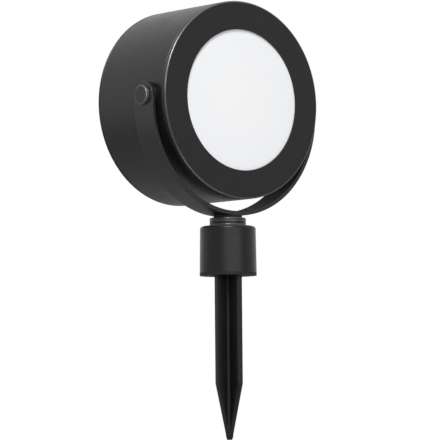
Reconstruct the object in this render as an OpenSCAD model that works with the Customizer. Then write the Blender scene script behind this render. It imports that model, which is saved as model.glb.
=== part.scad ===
// Solar spike light: a round head tilts in a flat U-shaped yoke, the yoke turns on a
// collar, and the collar is pushed onto a four-finned ground spike.
// The origin is at ground level on the spike's axis, +Z is up and the light faces -Y.

/* [Head] */
// Outer diameter of the round head
head_d = 96.8; // [94:0.2:108]
// Length of the head from the ring's face to the rear face
head_len = 52.5; // [51:0.5:66]
// Distance of the tilt axis behind the ring's face
pivot_back = 12; // [11.8:0.1:13]
// Radius of the rounded front and rear edges of the head
edge_r = 1; // [0.4:0.1:1.4]
// Wall of the drum
drum_wall = 3; // [2.6:0.1:3.6]
// Wall of the drum's two mouths, where the ring and the rear cover plug in
mouth_wall = 1.6; // [1.4:0.1:2]
// Depth of the drum's inner web behind the ring's face
web_depth = 20; // [19.6:0.2:21]
// Thickness of the inner web
web_t = 2; // [1.6:0.1:2.6]
// Chamfer that shows as a fine seam between the drum and its two covers
seam = 0.25; // [0.1:0.05:0.4]
// Distance of the ring's and the cover's screws from the drum's inner wall
screw_in = 4.2; // [4:0.1:4.4]
// Length of the spigots that locate the ring and the rear cover in the drum
spigot_len = 4; // [3:0.2:4.2]
// Thickness of the spigots
spigot_t = 1.3; // [1:0.1:1.4]
// Thickness of the two flat gaskets in the drum's mouths
gasket_t = 0.8; // [0.5:0.1:1]

/* [Front ring] */
// Thickness of the ring at its rim
ring_t = 1.8; // [1.6:0.1:2.2]
// Diameter of the light opening
opening_d = 68.9; // [64:0.1:71]
// Thickness of the lip in front of the diffuser
lip_t = 0.9; // [0.7:0.1:1.2]
// Width of the lip that covers the diffuser's edge
lip_w = 2.5; // [2:0.1:2.8]
// Wall around the diffuser's seat
seat_wall = 1.8; // [1.2:0.1:2]
// Diameter of the screw bosses behind the ring
ring_boss_d = 6; // [5.6:0.1:6.2]
// Depth at which the ring's screw bosses end
ring_boss_end = 8; // [7:0.1:9]

/* [Light engine] */
// Thickness of the opal diffuser
diffuser_t = 2; // [1.5:0.1:2.5]
// Thickness of the diffuser's gasket
diffuser_gasket_t = 0.8; // [0.5:0.1:1]
// Thickness of the reflector's flange, wall and floor
reflector_t = 1.2; // [1:0.1:1.5]
// Outer radius of the reflector's floor
reflector_floor_r = 28.2; // [27.6:0.1:29]
// Width of the reflector's floor inside the light board's screw heads
reflector_rim = 1.75; // [1:0.05:2.5]
// Width by which the light board stands out past the reflector's floor
led_board_rim = 0.8; // [0.4:0.1:1.6]
// Thickness of the round board that carries the light-emitting diodes
led_board_t = 1.6; // [1:0.1:2]
// Height of the posts between the web and the light board
led_post_h = 3.6; // [3.2:0.1:4]
// Gap between the reflector's wall and the light board's screw heads
led_screw_gap = 0.75; // [0.4:0.05:1.5]
// Length of one diode
led_l = 3.5; // [3:0.1:3.8]
// Width of one diode
led_w = 2.8; // [2.4:0.1:3]
// Height of one diode
led_h = 0.8; // [0.5:0.1:1]
// Radius of the outer circle of diodes
led_outer_r = 14; // [13:0.5:16]
// Radius of the inner circle of diodes
led_inner_r = 6; // [5.5:0.5:7]
// Number of diodes in the outer circle
led_outer_n = 12; // [8:1:14]
// Number of diodes in the inner circle
led_inner_n = 4; // [3:1:5]

/* [Battery] */
// Diameter of the rechargeable cell
cell_d = 14.1; // [13.5:0.1:14.5]
// Length of the cell without its cap
cell_len = 48; // [45:0.5:49]
// Diameter of the cell's positive cap
cell_cap_d = 5.5; // [5:0.1:6]
// Height of the cell's positive cap
cell_cap_h = 1; // [0.8:0.1:1.4]
// Height of the cell's axis above the head's axis
cell_y = 6; // [5:0.5:8]
// Wall of the battery holder
holder_wall = 1.6; // [1.3:0.1:2]
// Thickness of the two contact plates
contact_t = 0.4; // [0.3:0.05:0.6]
// Height by which each contact stands off its plate
contact_reach = 1.6; // [1.2:0.1:2.2]

/* [Control board and switch] */
// Width of the control board
board_w = 36; // [32:0.5:38]
// Distance of the board's upper edge below the head's axis
board_top = 24.5; // [22:0.5:26]
// Thickness of the control board
board_t = 1.6; // [1:0.1:1.8]
// Half the distance between the board's two screws
board_screw_x = 14; // [12:0.5:14.5]
// Distance of the board's screws below the head's axis
board_screw_y = 30; // [29.5:0.5:31]
// Side of the square switch body
switch_w = 6; // [5.5:0.1:6.2]
// Height of the switch body
switch_h = 3.5; // [3:0.1:4]
// Diameter of the switch's plunger
plunger_d = 3.4; // [3:0.1:3.6]
// Length of the plunger outside the switch body
plunger_out = 1.5; // [1.3:0.1:2]
// Length of the plunger inside the switch body
plunger_in = 1.2; // [1:0.1:1.4]

/* [Rear cover and solar panel] */
// Thickness of the rear cover's plate
rear_t = 1.8; // [1.6:0.1:2.2]
// Diameter of the panel's window
window_d = 68; // [64:0.5:69]
// Thickness of the lip around the window
window_lip_t = 0.8; // [0.6:0.1:1]
// Width of the lip around the window
window_lip_w = 2; // [1.6:0.1:2.2]
// Wall around the panel's seat
panel_wall = 1.4; // [1.2:0.1:1.5]
// Thickness of the clear panel cover
lens_t = 1.6; // [1.2:0.1:2]
// Thickness of the solar cells
wafer_t = 0.3; // [0.2:0.05:0.4]
// Thickness of the board behind the solar cells
panel_board_t = 1.2; // [0.8:0.1:1.6]
// Number of strips that the solar cells are cut into
wafer_n = 6; // [4:1:8]
// Gap between two strips
wafer_gap = 0.8; // [0.5:0.1:1.2]
// Bare margin around the strips
wafer_margin = 1.2; // [0.8:0.1:2]
// Diameter of the drum's rear screw bosses
rear_boss_d = 6.4; // [6:0.1:6.6]

/* [Leads] */
// Outer diameter of the insulated wires inside the head
lead_d = 1.2; // [0.9:0.1:1.6]
// Distance between the two wires of a pair
lead_pitch = 1.8; // [1.7:0.1:2.4]
// Distance of the light's and the panel's wires from the control board's upper edge
lead_joint_in = 2.3; // [1:0.1:3]
// Distance of the battery's wires from the control board's upper edge
battery_joint_in = 1.5; // [1:0.1:2.5]
// Sideways distance of the battery's wires on the control board
battery_joint_x = 9; // [7:0.5:10]
// Distance below the head's axis at which the light's wires pass through the web
lead_web_y = 12; // [10:0.5:13]
// Radius of the round hole in the web for these wires
wire_hole_r = 3.5; // [2.8:0.1:4]
// Radius of the wide bends of the light's and the battery's wires
lead_bend = 6; // [4:0.5:6.5]
// Radius of the bend where the light's wires turn to the control board
light_lead_bend = 4.8; // [3:0.1:5]
// Radius of both bends of the panel's wires
panel_lead_bend = 3.4; // [2:0.1:4.5]
// Radius of the tight bends at both ends of the battery's wires
battery_lead_bend = 2.5; // [2:0.1:3]

/* [Push button] */
// Diameter of the button's cap
button_d = 7; // [6.6:0.1:7.2]
// Height by which the button stands out of the rear cover
button_proud = 0.8; // [0.6:0.1:1.2]
// Distance of the button's axis from the drum's inner wall
button_in = 4.5; // [4.3:0.1:4.6]
// Travel of the button
button_travel = 0.8; // [0.5:0.1:0.9]
// Length of the tube that guides the button
guide_len = 4; // [3.5:0.1:4.4]
// Wall of the guide tube
guide_wall = 1; // [0.8:0.05:1.1]
// Width of the button's retaining flange beyond the cap
button_flange_w = 0.6; // [0.4:0.1:0.8]
// Thickness of that flange
button_flange_t = 0.8; // [0.6:0.1:1]
// Diameter of the button's inner stem
button_stem_d = 3; // [2.6:0.1:3.4]
// Length of the button's inner stem
button_stem_len = 2.4; // [2:0.1:3]

/* [Tilt pivot] */
// Diameter of the pivot pin's shank
pin_d = 5; // [4.6:0.1:5.4]
// Diameter of the pivot pin's head
pin_head_d = 9.4; // [8.6:0.1:10]
// Height of the pivot pin's head
pin_head_h = 1.8; // [1.4:0.1:3]
// Radius of the head's rounded edge
pin_head_edge = 0.6; // [0.3:0.1:0.9]
// Diameter of the pin's threaded end
pin_thread_d = 4; // [3.8:0.1:4.2]
// Length of the pin's threaded end inside the pivot bosses
pin_thread_len = 5; // [4.8:0.1:5.2]
// Length of the pivot bosses from the drum's crest inwards
pivot_boss_len = 8.4; // [8.2:0.1:8.8]
// Diameter of the pivot bosses inside the drum
pivot_boss_d = 10.2; // [9.8:0.1:10.4]
// Diameter of the flat pads outside the drum
pad_d = 13; // [12.4:0.1:13.2]
// Height by which the pads stand out of the drum's crest
pad_proud = 0.2; // [0.1:0.05:0.4]
// Diameter of the sliding washers between the drum and the yoke
spacer_d = 12; // [11:0.1:12.4]
// Thickness of the sliding washers
spacer_t = 1.1; // [0.5:0.05:1.4]
// Outer diameter of the washers under the pivot nuts
pivot_washer_d = 9; // [8.6:0.1:9.4]
// Thickness of the washers under the pivot nuts
pivot_washer_t = 0.8; // [0.6:0.1:1]
// Width of the pivot nuts across their flats
pivot_nut_af = 7; // [6.6:0.1:7.4]
// Height of the pivot nuts
pivot_nut_h = 3.2; // [2.8:0.1:3.4]

/* [Yoke] */
// Thickness of the yoke's strap
strap_t = 2.25; // [1.8:0.05:2.6]
// Width of the yoke's strap
strap_w = 13.6; // [13.2:0.1:15]
// Radius of the strap's rounded edges
strap_edge = 0.4; // [0.2:0.05:0.7]
// Height of the tilt axis above the centre of the yoke's bend
arm_len = 4.05; // [3.8:0.05:8]
// Diameter of the countersunk screw that holds the yoke to its stem
yoke_screw_d = 4; // [3.6:0.1:4.4]
// Diameter of that screw's head
yoke_screw_head_d = 8; // [7.6:0.1:8.4]
// Length of that screw
yoke_screw_len = 10; // [8:0.5:11]

/* [Swivel] */
// Diameter of the saddle under the strap
saddle_d = 13.9; // [12:0.1:14.4]
// Height of the saddle at the strap's lowest line
saddle_h = 0.9; // [0.8:0.1:2]
// Diameter of the two flanges between the yoke and the collar
flange_d = 17.8; // [15:0.1:19]
// Thickness of the upper flange, which turns with the yoke
upper_flange_t = 2.1; // [1.8:0.1:3]
// Thickness of the lower flange, which belongs to the bearing bush
lower_flange_t = 1.9; // [1.4:0.05:2.6]
// Radius of the upper flange's rounded top edge
flange_edge = 0.6; // [0.3:0.1:0.8]
// Chamfer along the groove between the two flanges
flange_groove = 0.2; // [0.1:0.05:0.6]
// Diameter of the stem in its bush
stem_d = 8; // [7.6:0.1:8.6]
// Outer diameter of the bush's sleeve
bush_d = 11; // [10.6:0.1:12]
// Diameter of the stem's threaded end
stem_thread_d = 6; // [5:0.1:6.4]
// Length of the stem's threaded end
stem_thread_len = 9.6; // [9:0.1:10]
// Outer diameter of the stem's washer
stem_washer_d = 15; // [14:0.1:16]
// Thickness of the stem's washer
stem_washer_t = 1.2; // [1:0.1:1.4]
// Outer diameter of the conical spring washer
stem_spring_d = 12; // [11.5:0.1:13]
// Height of the conical spring washer
stem_spring_h = 1.2; // [1:0.1:1.4]
// Wall of the conical spring washer
stem_spring_t = 0.7; // [0.5:0.05:0.9]
// Width of the stem's nut across its flats
stem_nut_af = 10; // [9.6:0.1:10.6]
// Height of the stem's nut
stem_nut_h = 5; // [4:0.1:5.2]

/* [Collar] */
// Diameter of the collar at its foot
collar_foot_d = 27.8; // [26.5:0.1:30]
// Diameter of the collar at its top
collar_top_d = 27.2; // [26:0.05:29]
// Height of the collar above its foot
collar_h = 22.65; // [22:0.05:26]
// Radius of the collar's rounded top edge
collar_edge = 1.5; // [0.8:0.1:2]
// Thickness of the collar's top wall
collar_top_t = 3.5; // [3:0.1:4]
// Wall around the collar's inner hollow
collar_wall = 2.5; // [2:0.1:3]
// Depth of the socket for the spike's plug
socket_depth = 7.8; // [7:0.1:8.4]
// Width of the ledge above the socket
socket_step = 0.7; // [0.4:0.1:0.8]

/* [Spike] */
// Length of the spike below ground level
spike_len = 79.8; // [70:0.1:160]
// Length of the pointed end
point_len = 27.5; // [20:0.5:45]
// Width of the cross-shaped spike over its fins
fin_span = 15.7; // [12:0.1:20]
// Thickness of the fins
fin_t = 2; // [1.6:0.1:3]
// Radius of the fillets between the fins
fin_fillet = 0.8; // [0.4:0.1:1.5]
// Width of the point at its very end
tip_w = 1.7; // [1.2:0.1:3]
// Thickness of the flange that closes the collar's foot
foot_t = 1.4; // [1:0.1:2]
// Wall of the spike's hollow plug
plug_wall = 1.8; // [1.4:0.1:2.4]
// Thickness of the plug's floor above the flange
plug_floor = 0.8; // [0.5:0.1:1.2]
// Height of the snap bead round the plug
bead_h = 1.2; // [0.8:0.1:1.6]
// Reach of the snap bead beyond the plug
bead_reach = 0.25; // [0.15:0.05:0.35]

/* [Fits] */
// Radial clearance of pins, shafts and screws in their holes
run_gap = 0.05; // [0.02:0.01:0.1]
// Gap between faces that slide on each other
face_gap = 0.05; // [0.02:0.01:0.1]
// Clearance around parts that drop into a seat
drop_gap = 0.15; // [0.05:0.05:0.2]
// Clearance of spigots, plugs and gaskets in their mouths
plug_gap = 0.1; // [0.05:0.05:0.15]
// Diameter of the small screws that hold the ring and the rear cover
screw_d = 3; // [2.8:0.1:3.2]
// Diameter of the heads of those screws
screw_head_d = 5.6; // [5.2:0.1:6]
// Height of the ring screws' pan heads
screw_head_h = 1.8; // [1.4:0.1:2.2]
// Diameter of the screws that hold the inner boards and the battery holder
small_screw_d = 2.5; // [2.2:0.1:2.6]
// Diameter of the heads of those small screws
small_head_d = 4.5; // [4:0.1:4.6]
// Height of a small pan head
small_head_h = 1.4; // [1.2:0.1:1.6]
// Width of the cross slots in the screw heads
slot_w = 0.7; // [0.5:0.05:0.9]
// Depth to which the rear screws enter their bosses
rear_screw_in = 9; // [7:0.5:12]

/* [Hidden] */
$fn = 96;

eps = 0.01;
past = 1;
ring_screw_n = 3;
rear_screw_n = 4;
slot_len_share = 0.6;
slot_depth_share = 0.5;
flat_slot_share = 0.6;
tip_room = 0.3;
head_r = head_d / 2;
mouth_r = head_r - mouth_wall;
spigot_r = mouth_r - plug_gap;
drum_in_r = head_r - drum_wall;
screw_circle_r = drum_in_r - screw_in;
button_y = drum_in_r - button_in;
pivot_boss_x = head_r - pivot_boss_len;
pin_end_x = pivot_boss_x - pin_thread_len;
web_rear = web_depth + web_t;
front_mouth = ring_t + spigot_len + gasket_t;
rear_plate = head_len - rear_t;
rear_mouth = rear_plate - spigot_len - gasket_t;

opening_r = opening_d / 2;
diffuser_r = opening_r + lip_w - drop_gap;
seat_r = diffuser_r + drop_gap;
reflector_top = lip_t + diffuser_t + diffuser_gasket_t;
led_board_rear = web_depth - led_post_h;
led_face = led_board_rear - led_board_t;
seat_end = reflector_top + reflector_t;
led_screw_angles = [30, 150, 270];
led_screw_r = reflector_floor_r - reflector_t - led_screw_gap - small_head_d / 2;
reflector_hole_r = led_screw_r - small_head_d / 2 - reflector_rim;
led_board_r = reflector_floor_r + led_board_rim;
led_screw_len = reflector_t + led_board_t + led_post_h - tip_room;
ring_skin = 1.6;
ring_screw_tip = ring_t + 2.2;

cell_half = cell_len / 2;
holder_half = cell_half + cell_cap_h / 2 + contact_reach + contact_t;
holder_floor = web_rear + holder_wall;
cell_depth = holder_floor + cell_d / 2 + drop_gap;
holder_rise = cell_d / 4;
notch_len = cell_len / 3;
notch_floor = cell_d / 5;
holder_screw_x = 12;
holder_boss_h = 2.8;
holder_boss_front = web_depth - holder_boss_h;
holder_screw_tip = holder_boss_front + 2 * tip_room;
led_post_wall = 0.75;
board_post_wall = 0.5;
boss_rib_w = 2;
cell_edge_r = 0.5;
contact_w = 0.6 * cell_d;

guide_end = rear_plate - guide_len;
button_flange_rear = guide_end - face_gap;
button_flange_front = button_flange_rear - button_flange_t;
button_stem_end = button_flange_front - button_stem_len;
switch_face = button_stem_end - plunger_out;
board_rear = switch_face - switch_h;
board_front = board_rear - board_t;
board_edge_gap = 0.5;
chip_pos = [-5, -10];
chip_size = [5, 4];
chip_h = 1.6;
coil_pos = [6, -8];
coil_d = 4.8;
coil_h = 3;
capacitor_pos = [3, -15];
capacitor_d = 5;
capacitor_h = 6;
plug_pos = [-9, -17];
plug_size = [4, 6];
plug_h = 4.5;
board_screw_in = 4;

window_r = window_d / 2;
panel_r = window_r + window_lip_w - drop_gap;
panel_seat_r = panel_r + drop_gap;
lens_rear = head_len - window_lip_t;
lens_front = lens_rear - lens_t;
wafer_front = lens_front - wafer_t;
panel_board_front = wafer_front - panel_board_t;
panel_rim = 0.6;
panel_seat_end = panel_board_front - panel_rim;
button_edge_r = 0.75 * button_proud;
wafer_r = panel_r - wafer_margin;
rear_screw_start = 45;

lead_r = lead_d / 2;
lead_joint_y = board_top + lead_joint_in;
light_lead_run = board_front - light_lead_bend - lead_bend - led_board_rear;
light_lead_drop = lead_joint_y - lead_web_y - lead_bend - light_lead_bend;
panel_lead_run = (panel_board_front - board_rear) / 2 - panel_lead_bend;
battery_joint_y = board_top + battery_joint_in;
battery_lead_x = holder_half - contact_t / 2;
battery_lead_start = cell_depth + contact_w / 2;
battery_lead_drop = cell_y + battery_joint_y - battery_lead_bend - lead_bend;
battery_lead_in = battery_lead_x - lead_bend - battery_lead_bend - battery_joint_x;

pin_step = 0.6;
strap_in_r = head_r + pad_proud + spacer_t + face_gap;
strap_out_r = strap_in_r + strap_t;

ground_z = 0;
collar_z = ground_z + foot_t;
collar_top = collar_z + collar_h;
bush_top = collar_top + lower_flange_t;
stem_shoulder = bush_top + face_gap;
upper_flange_top = stem_shoulder + upper_flange_t;
strap_under_z = upper_flange_top + saddle_h;
bend_z = strap_under_z + strap_out_r;
pivot_z = bend_z + arm_len;
strap_floor_z = strap_under_z + strap_t;
bush_stand = 0.3;
shank_short = 0.2;
bush_end = collar_top - collar_top_t - bush_stand;
stem_end_shank = bush_end - face_gap - stem_washer_t - shank_short;
stem_tip = stem_end_shank - stem_thread_len;
stem_washer_z = bush_end - face_gap - stem_washer_t;
stem_spring_z = stem_washer_z - stem_spring_h;
stem_nut_z = stem_spring_z - stem_nut_h;
spring_hole_r = stem_thread_d / 2 + 0.2;
spring_rim_w = 1;
yoke_screw_hole = yoke_screw_len + 2 * tip_room;

hollow_r = collar_top_d / 2 - collar_wall;
socket_r = hollow_r + socket_step;
socket_top = collar_z + socket_depth;
hollow_top = collar_top - collar_top_t;
plug_r = socket_r - plug_gap;
plug_top = socket_top - plug_gap;
bead_z = collar_z + socket_depth / 2;

// Places its children in the head's own frame: local Z runs back from the ring's face
// along the head's axis and local Y points up
module in_head() {
    translate([0, -pivot_back, pivot_z])
        rotate([-90, 0, 0])
            rotate([0, 0, 180])
                children();
}

// Places its children on both pivot axes, with local Z pointing outwards
module at_pivots() {
    for (side = [-1, 1])
        translate([0, 0, pivot_z])
            rotate([0, side * 90, 0])
                children();
}

// Places its children at the ring's screws, in the head's frame
module at_ring_screws() {
    for (i = [0 : ring_screw_n - 1])
        rotate([0, 0, 90 + i * 360 / ring_screw_n])
            translate([screw_circle_r, 0, 0])
                children();
}

// Places its children at the rear cover's screws, in the head's frame
module at_rear_screws() {
    for (i = [0 : rear_screw_n - 1])
        rotate([0, 0, rear_screw_start + i * 360 / rear_screw_n])
            translate([screw_circle_r, 0, 0])
                children();
}

// Places its children at the light board's screws, in the head's frame
module at_led_screws() {
    for (a = led_screw_angles)
        rotate([0, 0, a])
            translate([led_screw_r, 0, 0])
                children();
}

// A tube from height z0 to z1
module tube(r_out, r_in, z0, z1) {
    translate([0, 0, z0])
        difference() {
            cylinder(h = z1 - z0, r = r_out);
            translate([0, 0, -eps])
                cylinder(h = z1 - z0 + 2 * eps, r = r_in);
        }
}

// A bar of round section from height z0 to z1
module rod(r, z0, z1) {
    translate([0, 0, z0])
        cylinder(h = z1 - z0, r = r);
}

// The sharp corner outside a quarter circle, to be cut from a profile whose corner is at
// the origin and whose body lies towards -X and +Y
module round_cut(r) {
    difference() {
        translate([-r, -past])
            square([r + past, r + past]);
        translate([-r, r])
            circle(r = r);
    }
}

// A small bevel cut for a corner at the origin
module bevel_cut(c) {
    rotate([0, 0, 45])
        square([c * sqrt(2), c * sqrt(2)], center = true);
}

// The profile of a cover plate: outer edge rounded on the outside, seam bevel inside
module plate_profile(r_in, t) {
    difference() {
        translate([r_in, 0])
            square([head_r - r_in, t]);
        translate([head_r, 0])
            round_cut(edge_r);
        translate([head_r, t])
            bevel_cut(seam);
    }
}

// The two crossed slots of a screw head, cut upwards from z = 0
module cross_slot(head_d, depth) {
    for (a = [0, 90])
        rotate([0, 0, a])
            translate([-head_d * slot_len_share / 2, -slot_w / 2, 0])
                cube([head_d * slot_len_share, slot_w, depth]);
}

// A pan-head screw: head below z = 0, shank above it
module pan_screw(d, head_d, head_h, len) {
    rod(d / 2, -eps, len);
    difference() {
        translate([0, 0, -head_h])
            rotate_extrude()
                difference() {
                    square([head_d / 2, head_h]);
                    translate([head_d / 2, 0])
                        round_cut(head_h / 2);
                }
        translate([0, 0, -head_h - eps])
            cross_slot(head_d, head_h * slot_depth_share);
    }
}

// A countersunk screw: flat of the head at z = 0, shank running to +Z
module flat_screw(d, head_d, len) {
    difference() {
        union() {
            cylinder(h = (head_d - d) / 2, r1 = head_d / 2, r2 = d / 2);
            rod(d / 2, (head_d - d) / 2 - eps, len);
        }
        translate([0, 0, -eps])
            cross_slot(head_d, (head_d - d) / 2 * flat_slot_share);
    }
}

// The hole for a countersunk screw, with its clearance
module flat_screw_hole(d, head_d, len) {
    translate([0, 0, -eps])
        cylinder(h = (head_d - d) / 2, r1 = head_d / 2 + run_gap, r2 = d / 2 + run_gap);
    rod(d / 2 + run_gap, -eps, len);
}

// A hexagon nut from z = 0 upwards
module nut(af, d, h) {
    difference() {
        cylinder(h = h, r = af / 2 / cos(30), $fn = 6);
        translate([0, 0, -eps])
            cylinder(h = h + 2 * eps, r = d / 2 + run_gap);
    }
}

module front_ring() {
    color("#303032")
        in_head()
            difference() {
                union() {
                    rotate_extrude()
                        difference() {
                            plate_profile(opening_r, ring_t);
                            translate([opening_r - eps, lip_t])
                                square([lip_w + eps, ring_t]);
                        }
                    tube(seat_r + seat_wall, seat_r, ring_t / 2, seat_end);
                    tube(spigot_r, spigot_r - spigot_t, ring_t / 2, ring_t + spigot_len);
                    at_ring_screws()
                        rod(ring_boss_d / 2, ring_t / 2, ring_boss_end);
                }
                at_ring_screws()
                    rod(screw_d / 2 + run_gap, ring_skin, ring_boss_end + eps);
                rod(seat_r, lip_t, seat_end + past);
            }
}

module diffuser() {
    color("#f2f3f4")
        in_head()
            translate([0, 0, lip_t])
                cylinder(h = diffuser_t, r = diffuser_r);
}

module diffuser_gasket() {
    color("#1c1c1c")
        in_head()
            tube(diffuser_r, opening_r, lip_t + diffuser_t, reflector_top);
}

// A white tapered box: flange against the gasket, floor on the light board
module reflector() {
    color("#f4f4f2")
        in_head()
            difference() {
                rotate_extrude()
                    polygon([
                        [opening_r, reflector_top],
                        [diffuser_r, reflector_top],
                        [diffuser_r, seat_end],
                        [opening_r + reflector_t, seat_end],
                        [reflector_floor_r, led_face - reflector_t],
                        [reflector_floor_r, led_face],
                        [reflector_hole_r, led_face],
                        [reflector_hole_r, led_face - reflector_t],
                        [reflector_floor_r - reflector_t, led_face - reflector_t]
                    ]);
                at_led_screws()
                    rod(small_screw_d / 2 + run_gap, led_face - 2 * reflector_t, led_face + past);
            }
}

module led_ring(n, r) {
    for (i = [0 : n - 1])
        rotate([0, 0, i * 360 / n])
            translate([r - led_l / 2, -led_w / 2, led_face - led_h])
                cube([led_l, led_w, led_h]);
}

module leds() {
    color("#f3d98a")
        in_head() {
            led_ring(led_outer_n, led_outer_r);
            led_ring(led_inner_n, led_inner_r);
        }
}

module led_board() {
    color("#e8e8e4")
        in_head()
            difference() {
                rod(led_board_r, led_face, led_board_rear);
                at_led_screws()
                    rod(small_screw_d / 2 + run_gap, led_face - past, led_board_rear + past);
            }
}

module led_screws() {
    color("#b8b8ba")
        in_head()
            at_led_screws()
                translate([0, 0, led_face - reflector_t])
                    pan_screw(small_screw_d, small_head_d, small_head_h, led_screw_len);
}

module ring_gasket() {
    color("#1c1c1c")
        in_head()
            tube(spigot_r, drum_in_r + plug_gap, ring_t + spigot_len, front_mouth);
}

module ring_screws() {
    color("#b8b8ba")
        in_head()
            at_ring_screws()
                translate([0, 0, web_rear])
                    mirror([0, 0, 1])
                        pan_screw(screw_d, screw_head_d, screw_head_h, web_rear - ring_screw_tip);
}

// The drum: a tube with a web, stepped mouths, screw bosses, posts and pivot bosses
module lamp_housing() {
    color("#434345")
        difference() {
            union() {
                in_head() {
                    difference() {
                        rotate_extrude()
                            difference() {
                                translate([drum_in_r, ring_t])
                                    square([drum_wall, rear_plate - ring_t]);
                                translate([head_r, ring_t])
                                    bevel_cut(seam);
                                translate([head_r, rear_plate])
                                    bevel_cut(seam);
                            }
                        rod(mouth_r, ring_t - past, front_mouth);
                        rod(mouth_r, rear_mouth, rear_plate + past);
                    }
                    rod(drum_in_r + eps, web_depth, web_rear);
                    at_ring_screws()
                        boss(ring_boss_d, ring_boss_end + face_gap, web_depth + eps);
                    at_rear_screws()
                        boss(rear_boss_d, web_rear - eps, rear_mouth - plug_gap);
                    at_rear_screws()
                        rod(rear_boss_d / 2, web_rear - eps, rear_plate);
                    at_led_screws()
                        rod(small_head_d / 2 + led_post_wall, led_board_rear, web_depth + eps);
                    for (side = [-1, 1])
                        translate([side * holder_screw_x, cell_y, 0])
                            rod(small_head_d / 2 + led_post_wall, holder_boss_front, web_depth + eps);
                    for (side = [-1, 1])
                        translate([side * board_screw_x, -board_screw_y, 0])
                            rod(small_head_d / 2 + board_post_wall, web_rear - eps, board_front);
                }
                at_pivots()
                    rod(pivot_boss_d / 2, pivot_boss_x, drum_in_r + drum_wall / 2);
                at_pivots()
                    rod(pad_d / 2, mouth_r, head_r + pad_proud);
            }
            at_pivots()
                rod(pin_d / 2 + run_gap, pivot_boss_x - past, head_r + pad_proud + past);
            in_head() {
                at_ring_screws()
                    rod(screw_d / 2 + run_gap, ring_boss_end - past, web_rear + past);
                at_rear_screws()
                    rod(screw_d / 2 + run_gap, rear_plate - rear_screw_in - tip_room, rear_plate + past);
                at_led_screws()
                    rod(small_screw_d / 2 + run_gap, led_board_rear - past, web_depth + eps);
                for (side = [-1, 1])
                    translate([side * holder_screw_x, cell_y, 0])
                        rod(small_screw_d / 2 + run_gap, holder_screw_tip - tip_room, web_rear + past);
                for (side = [-1, 1])
                    translate([side * board_screw_x, -board_screw_y, 0])
                        rod(
                            small_screw_d / 2 + run_gap,
                            board_front - board_screw_in - tip_room,
                            board_front + past
                        );
                translate([0, -lead_web_y, 0])
                    rod(wire_hole_r, web_depth - past, web_rear + past);
            }
        }
}

// A screw boss with a rib out to the drum's wall, on the screw circle
module boss(d, z0, z1) {
    rod(d / 2, z0, z1);
    translate([0, -boss_rib_w / 2, z0])
        cube([drum_in_r + eps - screw_circle_r, boss_rib_w, z1 - z0]);
}

// An open cradle with a round trough and two end walls
module battery_holder() {
    color("#26262a")
        in_head()
            translate([0, cell_y, 0])
                difference() {
                    translate([-holder_half - holder_wall, -cell_d / 2 - drop_gap - holder_wall, web_rear])
                        cube([
                            2 * (holder_half + holder_wall),
                            cell_d + 2 * (drop_gap + holder_wall),
                            cell_depth + holder_rise - web_rear
                        ]);
                    translate([-holder_half, 0, cell_depth])
                        rotate([0, 90, 0])
                            cylinder(h = 2 * holder_half, r = cell_d / 2 + drop_gap);
                    translate([-holder_half, -cell_d / 2 - drop_gap, cell_depth])
                        cube([2 * holder_half, cell_d + 2 * drop_gap, cell_d]);
                    for (side = [-1, 1])
                        translate([side * holder_screw_x, 0, holder_floor])
                            mirror([0, 0, 1])
                                flat_screw_hole(small_screw_d, small_head_d, 3 * holder_wall);
                    translate([-notch_len / 2, -cell_d, cell_depth - notch_floor])
                        cube([notch_len, 2 * cell_d, cell_d]);
                }
}

module holder_screws() {
    color("#b8b8ba")
        in_head()
            for (side = [-1, 1])
                translate([side * holder_screw_x, cell_y, holder_floor])
                    mirror([0, 0, 1])
                        flat_screw(small_screw_d, small_head_d, holder_floor - holder_screw_tip);
}

// Two plates against the holder's end walls, each with a raised contact
module battery_contacts() {
    color("#c9c9c4")
        in_head()
            translate([0, cell_y, cell_depth])
                for (side = [-1, 1])
                    rotate([0, side * 90, 0]) {
                        translate([-contact_w / 2, -contact_w / 2, holder_half - contact_t])
                            cube([contact_w, contact_w, contact_t]);
                        translate([0, 0, holder_half - contact_t - contact_reach])
                            cylinder(h = contact_reach + eps, r1 = cell_cap_d / 3, r2 = cell_cap_d / 2);
                    }
}

module battery_cell() {
    color("#3f6f9a")
        in_head()
            translate([-cell_half - cell_cap_h / 2, cell_y, cell_depth])
                rotate([0, 90, 0]) {
                    rotate_extrude()
                        difference() {
                            square([cell_d / 2, cell_len]);
                            translate([cell_d / 2, 0])
                                round_cut(cell_edge_r);
                            translate([cell_d / 2, cell_len])
                                mirror([0, 1])
                                    round_cut(cell_edge_r);
                        }
                    rod(cell_cap_d / 2, cell_len - eps, cell_len + cell_cap_h);
                }
}

// A board cut round at the bottom to follow the drum's wall
module control_board() {
    color("#1f5a3a")
        in_head()
            difference() {
                intersection() {
                    translate([-board_w / 2, -head_r, board_front])
                        cube([board_w, head_r - board_top, board_t]);
                    rod(drum_in_r - board_edge_gap, board_front - past, board_rear + past);
                }
                for (side = [-1, 1])
                    translate([side * board_screw_x, -board_screw_y, 0])
                        rod(small_screw_d / 2 + run_gap, board_front - past, board_rear + past);
            }
}

// The taller components on the control board's inner side
module board_parts() {
    color("#2b2b2e")
        in_head()
            translate([0, -board_top, board_front]) {
                translate([chip_pos.x, chip_pos.y, -chip_h])
                    cube([chip_size.x, chip_size.y, chip_h]);
                translate([coil_pos.x, coil_pos.y, -coil_h])
                    cylinder(h = coil_h, r = coil_d / 2);
                translate([capacitor_pos.x, capacitor_pos.y, -capacitor_h])
                    cylinder(h = capacitor_h, r = capacitor_d / 2);
                translate([plug_pos.x, plug_pos.y, -plug_h])
                    cube([plug_size.x, plug_size.y, plug_h]);
            }
}

module board_screws() {
    color("#b8b8ba")
        in_head()
            for (side = [-1, 1])
                translate([side * board_screw_x, -board_screw_y, board_rear])
                    mirror([0, 0, 1])
                        pan_screw(small_screw_d, small_head_d, small_head_h, board_t + board_screw_in);
}

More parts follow.
